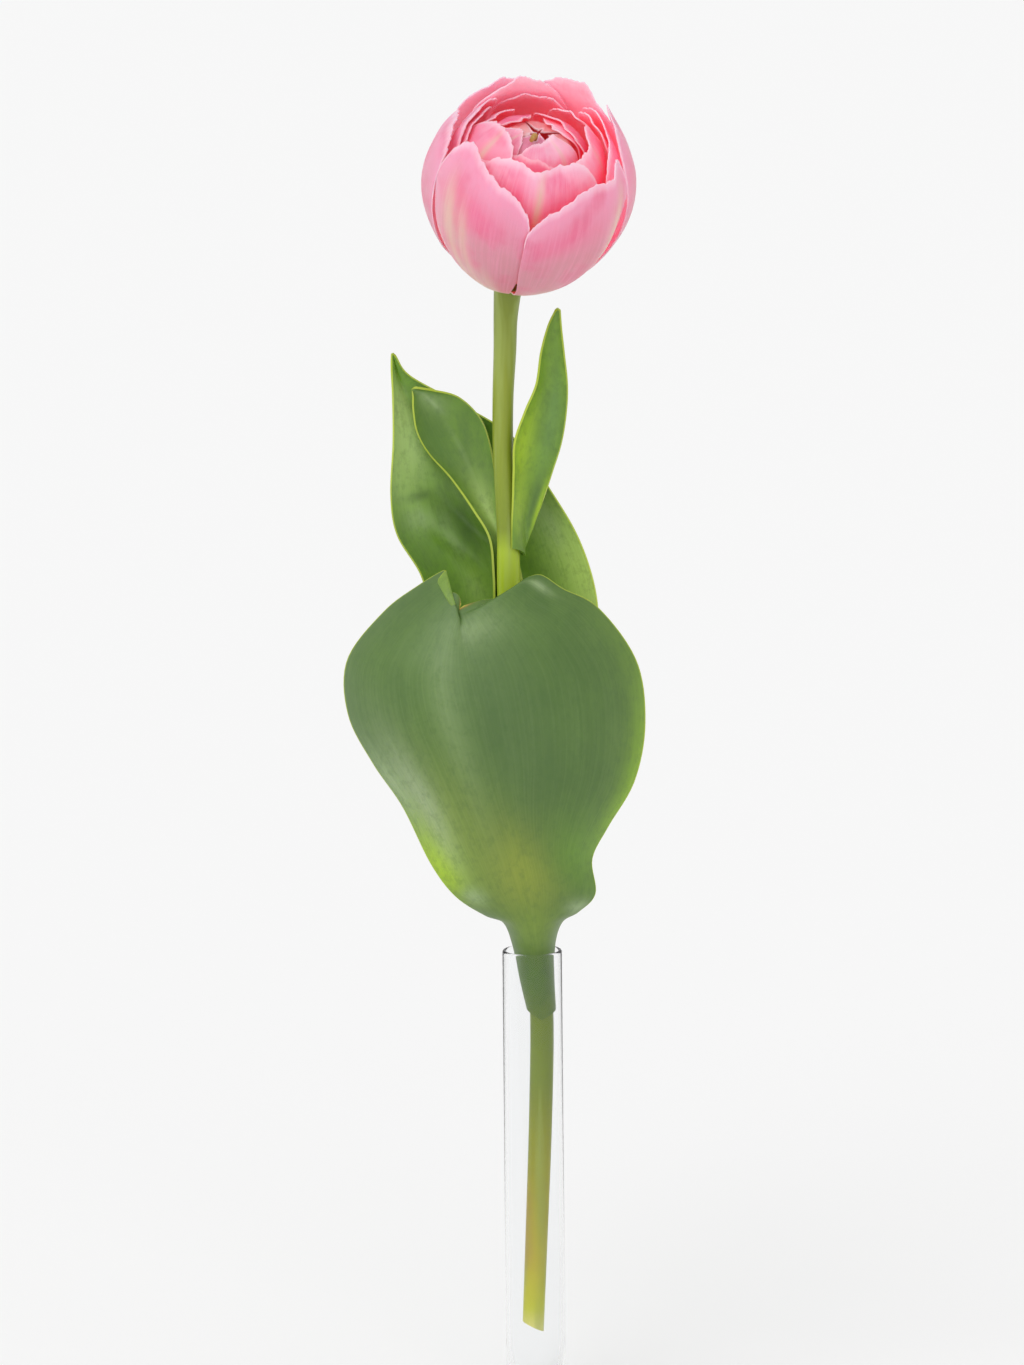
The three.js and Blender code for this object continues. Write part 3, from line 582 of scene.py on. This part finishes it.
# name, from, to, layer, rim heights at even places across, and what differs from the rest: how far
# the rim leans in (layers) or sinks (mm), the turn of the claw (degrees), the width of the claw and
# the tuck of the margin on its from side and its to side, and the node where it has another name
PETALS = [
    ("petal_front_left", -149, -84, 0, (0.73, 0.9, 0.98, 0.92, 0.87, 0.8, 0.68),
     dict(claw=(0.45, 0.8), tuck=(1.2, 0.8), turn=3)),
    ("petal_front_right", -85.5, -18, 0, (0.68, 0.76, 0.84, 0.9, 0.91, 0.95, 0.76),
     dict(claw=(0.86, 0.3), tuck=(0.2, 1.6), turn=2)),
    ("petal_back_left", 92, 146, 1, (0.8, 0.93, 0.98, 0.99, 0.96, 0.89, 0.76), dict()),
    ("petal_far_left", 149, 210, 0.5, (0.7, 0.84, 0.89, 0.9, 0.88, 0.81, 0.66), dict(lean=3.5)),
    ("petal_far_right", -16, 40, 0.4, (0.76, 0.9, 1.02, 1.08, 1.06, 0.96, 0.78),
     dict(claw=(1.9, 0.45), lean=1)),
    ("petal_back_right", 22, 102, 2, (0.8, 0.94, 1.04, 1.08, 1.06, 0.97, 0.8), dict()),
    ("petal_back", 70.5, 141.5, 3, (0.78, 0.94, 1.035, 1.07, 1.06, 0.99, 0.82), dict()),
    ("petal_front", -128, -36, 3, (0.74, 0.88, 0.94, 0.945, 0.925, 0.955, 0.955, 0.89, 0.76), dict()),
    ("petal_inner_right", -28, 62, 3, (0.72, 0.86, 0.95, 0.98, 1, 0.94, 0.78), dict()),
    ("petal_inner_left", 131, 206, 3.9, (0.86, 0.95, 0.97, 0.96, 0.9, 0.8, 0.66), dict()),
    ("petal_second_back", 68, 128, 4.2, (0.78, 0.9, 0.97, 0.98, 0.97, 0.92, 0.8), dict()),
    ("petal_second_left", 138, 200, 4.95, (0.8, 0.9, 0.94, 0.93, 0.89, 0.82, 0.7), dict()),
    ("petal_second_right", 4, 60, 4.2, (0.76, 0.9, 0.97, 0.99, 0.98, 0.92, 0.8), dict()),
    ("petal_side_left", 174, 250, 5.9, (0.78, 0.93, 1, 1.02, 1.01, 0.96, 0.86), dict()),
    ("petal_side_right", -66, 16, 5.3, (0.76, 0.86, 0.91, 0.94, 0.98, 1.02, 0.86), dict()),
    ("petal_third_right", 36, 86, 5.4, (0.76, 0.9, 0.96, 0.96, 0.93, 0.86, 0.74), dict()),
    ("petal_third_left", 118, 186, 6.8, (0.82, 0.9, 0.92, 0.92, 0.9, 0.85, 0.74), dict()),
    ("petal_corner_left", -152, -92, 4.6, (0.7, 0.78, 0.84, 0.87, 0.87, 0.8, 0.7), dict()),
    ("petal_inner_front", -128, -60, 7.2, (0.76, 0.84, 0.89, 0.9, 0.88, 0.84, 0.76), dict()),
    ("bud_petal_left", 104, 176, 8.8, (0.84, 0.95, 1, 1.01, 0.99, 0.93, 0.82), dict()),
    ("bud_petal_back", -8, 98, 8, (0.8, 0.93, 0.98, 1, 1, 0.96, 0.84), dict()),
    ("bud_petal_right", 2, 86, 9.4, (0.82, 0.95, 1, 1.01, 1, 0.94, 0.82), dict()),
    ("bud_petal_front_left", -179, -112, 9.2, (0.84, 0.95, 1, 1.01, 0.98, 0.93, 0.82), dict()),
    ("bud_petal_front_right", -108, -14, 9.2, (0.8, 0.91, 0.96, 0.99, 1.02, 1, 0.86), dict()),
    ("petaloid_back", 30, 120, 10.9, (0.84, 0.95, 1.01, 0.97, 1.02, 0.95, 0.84), dict(sink=0.6)),
    ("petaloid_left", 126, 222, 11.2, (0.84, 0.95, 0.99, 1.02, 0.98, 0.95, 0.84), dict(sink=0.6)),
    ("petaloid_right", -64, 24, 10.6, (0.84, 0.94, 0.96, 0.93, 0.97, 0.94, 0.84), dict(sink=0.6)),
    ("petaloid_front", -136, -52, 10.3, (0.84, 0.95, 1.01, 0.96, 1.03, 0.97, 0.84),
     dict(sink=0.2, node="petaloid_right")),
]


def bloom_points(angle, radius, height):
    """Points at an angle round the bloom's axis and a radius and height from its base."""
    ring = BLOOM_RIGHT * np.cos(angle)[:, None] + BLOOM_BACK * np.sin(angle)[:, None]
    return BLOOM_BASE + BLOOM_AXIS * height[:, None] + ring * radius[:, None]


def petal_points(petal, u, v):
    """Points of a petal at u from -1 to 1 across and v from 0 to 1 along."""
    name, start, end, layer, rim, more = petal
    middle = math.radians((start + end) / 2)
    half = math.radians((end - start) / 2)
    claws, tucks = more.get("claw", CLAW_SHARES), more.get("tuck", MARGIN_TUCKS)
    across = np.sin(u * math.pi / 2)
    share = v * spline(rim, (u + 1) / 2)
    notch = NOTCHES[0] * np.sin(17 * u + 9 * middle) + NOTCHES[1] * np.sin(41 * u + 5 * middle)
    nicks = NICKS * np.sin(53 * u + 7 * middle) * np.sin(21 * u + 11 * middle)
    share = share + notch * smooth((v - 0.8) / 0.2) + nicks * smooth((v - 0.93) / 0.07)
    grown = smooth(share / CLAW_LENGTH)
    claw = np.where(u < 0, claws[0], claws[1])
    angle = middle + half * across * (claw + (1 - claw) * grown)
    angle = angle + math.radians(more.get("turn", 0)) * (1 - grown)
    wave = MARGIN_WAVE * np.sin(7 * across + 5 * middle) * v * v
    curl = -MARGIN_CURL * smooth((v - 0.93) / 0.07) * (1 + np.sin(9 * across + 3 * middle))
    free = smooth(share / 0.4) * (1 - 0.8 * smooth((share - 0.6) / 0.3))
    tuck = np.where(u < 0, tucks[0], tucks[1]) * free * across * across
    mix = (layer + wave + curl + tuck + more.get("lean", 0) * share ** 6) / BUD_LAYER
    radius = spline(OUTER_RADIUS, share) * (1 - mix) + spline(BUD_RADIUS, share) * mix
    height = spline(OUTER_HEIGHT, share) * (1 - mix) + spline(BUD_HEIGHT, share) * mix
    return bloom_points(angle, radius, height - more.get("sink", 0) * share ** 3)


OLIVE = colour(176, 170, 84)
CREAM = colour(222, 200, 176)
# the petals' own pale margin, made paler still as a painted highlight along the edges
PALE_MARGIN_AND_HIGHLIGHT = colour(255, 226, 236)
ROSE = colour(234, 90, 140)
HOT_PINK = colour(244, 88, 140)


def petal_material(name, base, body, flush, tip, streaks=(), spots=(), glow=0.0):
    """A petal's finish from claw to rim: soft flushes, spots, fine veins, a pale margin brightened as a
    painted highlight and, where given, pale streaks (place at the base and at the rim, half width, low
    end, high end, strength).
    Glow stands for the light that shines through a thin petal from behind."""
    material, tree, shader = new_material(name)
    u, v = blade_place(tree)
    cloud = noise(tree, object_place(tree, (120, 120, 80)), 1.0, 3)
    veins = noise(tree, strands(tree, u, v, 34.0, 2.2, cloud), 1.0, 6.0, 0.75)
    paint = ramp(tree, v, [(0.0, OLIVE), (0.09, base), (0.4, body), (0.66, body), (0.97, tip)])
    paint = blend(tree, times(tree, fade(tree, cloud, 0.42, 0.68), 0.6), paint, flush)
    for place_u, place_v, reach_u, reach_v, strength, tone in spots:
        mask = times(tree, spot(tree, u, v, place_u, place_v, reach_u, reach_v), strength)
        paint = blend(tree, mask, paint, tone)
    paint = blend(tree, times(tree, fade(tree, veins, 0.42, 0.68), 0.42), paint, tip)
    for low_place, high_place, width, low, high, strength in streaks:
        place = calc(tree, "MULTIPLY_ADD", v, high_place - low_place, low_place)
        offset = calc(tree, "DIVIDE", calc(tree, "SUBTRACT", u, place), width)
        offset = calc(tree, "ADD", offset, calc(tree, "MULTIPLY_ADD", veins, 2.4, -1.2))
        band = calc(tree, "POWER", EULER, times(tree, times(tree, offset, offset), -1.0))
        start, stop = fade(tree, v, low - 0.1, low + 0.12), fade(tree, v, high + 0.1, high - 0.15)
        mask = times(tree, times(tree, band, times(tree, start, stop)), strength)
        paint = blend(tree, mask, paint, CREAM)
    side = calc(tree, "ABSOLUTE", u)
    margin = calc(tree, "MAXIMUM", fade(tree, side, 0.95, 1.0), fade(tree, v, 0.95, 1.0))
    # pale margin: partly the petal's own tone, partly a painted highlight along the edge
    paint = blend(tree, times(tree, margin, 0.5), paint, PALE_MARGIN_AND_HIGHLIGHT)
    tree.links.new(paint, shader.inputs["Base Color"])
    tree.links.new(blend(tree, 1.0, paint, flush, "MULTIPLY"), shader.inputs["Emission Color"])
    shader.inputs["Emission Strength"].default_value = glow
    shader.inputs["Roughness"].default_value = 0.5
    shader.inputs["Subsurface Weight"].default_value = 0.7
    shader.inputs["Subsurface Radius"].default_value = (1.0, 0.6, 0.6)
    shader.inputs["Subsurface Scale"].default_value = 0.0014
    shader.inputs["Sheen Weight"].default_value = 0.05
    shader.inputs["Sheen Roughness"].default_value = 0.4
    bump(tree, shader, veins, 0.3, 0.0004)
    return material


# base, body, flush and tip of each kind of petal face
OUTSIDE = (colour(186, 172, 130), colour(212, 146, 160), colour(222, 108, 142), colour(238, 158, 188))
FRONT = (colour(222, 168, 150), colour(240, 112, 148), ROSE, colour(250, 186, 208))
BUD = (colour(232, 110, 106), colour(238, 100, 134), ROSE, colour(242, 122, 154))
SIDES = (colour(236, 140, 130), colour(248, 156, 182), colour(242, 116, 156), colour(250, 188, 208))
LEFT_SIDE = (colour(232, 130, 110), colour(240, 114, 148), colour(236, 92, 138), colour(250, 164, 190))
CORAL = (colour(250, 140, 120), colour(250, 150, 158), colour(250, 126, 146), colour(250, 176, 192))
SALMON = (colour(250, 176, 156), colour(250, 194, 204), colour(248, 170, 186), colour(252, 208, 220))
PALE = (colour(246, 196, 190), colour(250, 212, 226), colour(248, 186, 206), colour(252, 220, 232))
PETALOID = (colour(226, 110, 104), colour(242, 136, 144), colour(232, 108, 122), colour(248, 168, 170))

outer_plain = petal_material("petal_outside", *OUTSIDE)
outer_left = petal_material(
    "petal_outside_left_streak", *OUTSIDE,
    # painted light and shade: the pale pink patch on the lit left side and the darker red one low on
    # the right, where the next petal shades it
    spots=[(0.0, 0.8, 0.4, 0.08, 0.6, ROSE), (-0.75, 0.6, 0.3, 0.3, 0.7, colour(246, 172, 190)),
           (0.5, 0.35, 0.3, 0.2, 0.5, colour(208, 112, 128)),
           (0.0, 0.13, 0.9, 0.1, 0.55, colour(204, 178, 138))],
    streaks=[(-0.05, -0.4, 0.1, 0.1, 0.85, 0.6), (0.1, -0.16, 0.07, 0.1, 0.8, 0.5),
             (0.3, 0.05, 0.12, 0.05, 0.5, 0.45), (-0.5, -0.62, 0.12, 0.1, 0.6, 0.4)])
outer_right = petal_material(
    "petal_outside_right_streak", *OUTSIDE,
    spots=[(-0.3, 0.8, 0.4, 0.08, 0.5, ROSE), (-0.1, 0.16, 0.9, 0.14, 0.6, colour(202, 176, 136)),
           (0.1, 0.5, 0.3, 0.2, 0.35, colour(206, 124, 140))],
    streaks=[(0.35, 0.5, 0.12, 0.2, 0.9, 0.75), (0.0, 0.0, 0.3, 0.05, 0.35, 0.4)])
outer_front = petal_material(
    "petal_outside_front_streak", *FRONT,
    # painted shade: the deep red band low on this petal darkens it where it lies in the gap between the
    # two front petals; the pale stripe down its middle is the midrib's own pale tone with a painted
    # highlight
    spots=[(-0.2, 0.8, 0.14, 0.16, 0.7, HOT_PINK), (0.0, 0.5, 0.7, 0.14, 0.85, colour(206, 70, 88)),
           (0.25, 0.75, 0.18, 0.2, 0.6, HOT_PINK)],
    streaks=[(0.0, 0.02, 0.035, 0.1, 0.97, 0.8)])
outer_deep = petal_material(
    "petal_outside_of_the_bud", *BUD, streaks=[(0.1, -0.05, 0.03, 0.2, 0.9, 0.4)])
outer_side = petal_material(
    "petal_outside_of_the_sides", *SIDES, streaks=[(0.35, 0.2, 0.06, 0.3, 1.0, 0.4)], glow=0.08)
outer_rose = petal_material(
    "petal_outside_of_the_left_side", *LEFT_SIDE, streaks=[(0.25, 0.1, 0.07, 0.5, 1.0, 0.6)])
inner_coral = petal_material("petal_inside", *CORAL, glow=0.1)
inner_salmon = petal_material("petal_inside_back", *SALMON, glow=0.17)
inner_pale = petal_material("petal_inside_right", *PALE, glow=0.15)
petaloid_skin = petal_material("petaloid_skin", *PETALOID)
SKINS = {
    "petal_front_left": (outer_left, inner_coral),
    "petal_front_right": (outer_right, inner_coral),
    "petal_front": (outer_front, inner_coral),
    "petal_far_right": (outer_plain, inner_pale),
}
shared_skins = [
    ((outer_plain, inner_salmon), (
        "petal_back_left", "petal_back_right", "petal_back", "petal_far_left")),
    ((outer_deep, inner_coral), (
        "petal_corner_left", "petal_inner_front", "bud_petal_left", "bud_petal_back")),
    ((outer_side, inner_coral), (
        "petal_side_right", "petal_inner_right", "petal_second_right", "petal_third_right",
        "bud_petal_right", "bud_petal_front_right")),
    ((outer_rose, inner_coral), ("petal_side_left", "bud_petal_front_left")),
    ((petaloid_skin, petaloid_skin), ("petaloid_back", "petaloid_left", "petaloid_right")),
]
for skins, names in shared_skins:
    SKINS.update(dict.fromkeys(names, skins))
for petal in PETALS:
    name = petal[0]
    skins = SKINS.get(name, (outer_plain, inner_coral))
    piece = grown_sheet("soft_" + name, *PETAL_CELLS, PETAL_THICKNESS,
                        lambda u, v: petal_points(petal, u, v), skins)
    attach(piece, "root")
    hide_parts(petal[5].get("node", name))

# The anther is a small dry spindle on a thread. The thread rises from the cone through the hole of
# the bloom, and the spindle lies over the front of the bud.
anther_line = [
    (0, 0, 12.2), (-0.8, -2.4, 30), (-1.0, -3.7, 42), (-0.8, -4.1, 51), (-0.6, -5.0, 54.2),
    (-1.4, -8.2, 54.4),
]
anther_radii = [0.6, 0.6, 0.6, 0.6, 0.95, 0.6]
anther = round_rod("anther_spindle", 16, 40)
bloom_frame = np.array([BLOOM_RIGHT, BLOOM_BACK, BLOOM_AXIS])
anther_path = [tuple(BLOOM_BASE + np.array(place) @ bloom_frame) for place in anther_line]
bend_rod(anther, anther_path, anther_radii)
bpy.ops.object.shade_smooth_by_angle(angle=ROD_SMOOTH_BELOW)
pollen, tree, shader = new_material("dry_anther")
grain = noise(tree, object_place(tree), 900.0, 3)
grain_colour = blend(tree, grain, colour(222, 176, 92), colour(128, 92, 52))
tree.links.new(grain_colour, shader.inputs["Base Color"])
shader.inputs["Roughness"].default_value = 0.8
bump(tree, shader, grain, 0.6, 0.0004)
anther.data.materials.append(pollen)
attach(anther, "root")
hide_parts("anther")

# The studio is a plain pale floor under a soft even sky, with one wide soft light from the upper
# left and a weaker one from the front. The camera looks down a little through a long lens.
CAMERA_TARGET = Vector((-0.0053, 0.0, 0.2233))
CAMERA_PLACE = Vector((-0.0053, -2.6, 0.672))
CAMERA_ROLL = 0.0095
FRAME_HEIGHT = 0.4095
SENSOR = 36.0
FLOOR_SIZE = 60
FLOOR_LIGHT = (0.93, 0.93, 0.93, 1)
FLOOR_DARK = (0.88, 0.88, 0.88, 1)
SKY_STRENGTH = 0.79
KEY_STRENGTH = 0.75
FRONT_STRENGTH = 0.4

bpy.ops.mesh.primitive_plane_add(size=FLOOR_SIZE)
floor = bpy.context.object
floor.name = "studio_floor"
pale, tree, shader = new_material("pale_floor")
paper_grain = noise(tree, object_place(tree), 14.0, 2)
floor_colour = blend(tree, times(tree, paper_grain, 0.05), FLOOR_LIGHT, FLOOR_DARK)
tree.links.new(floor_colour, shader.inputs["Base Color"])
shader.inputs["Roughness"].default_value = 1.0
shader.inputs["Specular IOR Level"].default_value = 0.0
floor.data.materials.append(pale)

world = bpy.data.worlds.new("soft_sky")
world.use_nodes = True
sky = world.node_tree.nodes["Background"]
sky.inputs["Color"].default_value = (1.0, 1.0, 1.0, 1)
sky.inputs["Strength"].default_value = SKY_STRENGTH
bpy.context.scene.world = world


def soft_sun(name, direction, strength, spread):
    """A wide light that shines along the direction, with its spread in degrees."""
    sun = bpy.data.lights.new(name, "SUN")
    sun.energy = strength
    sun.angle = math.radians(spread)
    holder = bpy.data.objects.new(name, sun)
    bpy.context.collection.objects.link(holder)
    holder.rotation_mode = "QUATERNION"
    holder.rotation_quaternion = Vector(direction).to_track_quat("-Z", "Y")


soft_sun("key_light", (0.55, 0.6, -0.75), KEY_STRENGTH, 50)
soft_sun("front_light", (0.1, 0.9, -0.42), FRONT_STRENGTH, 60)

camera_data = bpy.data.cameras.new("camera")
camera = bpy.data.objects.new("camera", camera_data)
bpy.context.collection.objects.link(camera)
ahead = (CAMERA_TARGET - CAMERA_PLACE).normalized()
side = ahead.cross(Vector((0, 0, 1))).normalized()
upright = side.cross(ahead)
turn = Matrix((side, upright, -ahead)).transposed().to_4x4()
camera.matrix_world = Matrix.Translation(CAMERA_PLACE) @ turn @ Matrix.Rotation(-CAMERA_ROLL, 4, "Z")
camera_data.sensor_width = SENSOR
camera_data.lens = SENSOR * (CAMERA_TARGET - CAMERA_PLACE).length / FRAME_HEIGHT
camera_data.clip_end = 200
scene = bpy.context.scene
scene.camera = camera
scene.view_settings.view_transform = "Standard"
scene.cycles.max_bounces = 16
scene.cycles.diffuse_bounces = 12
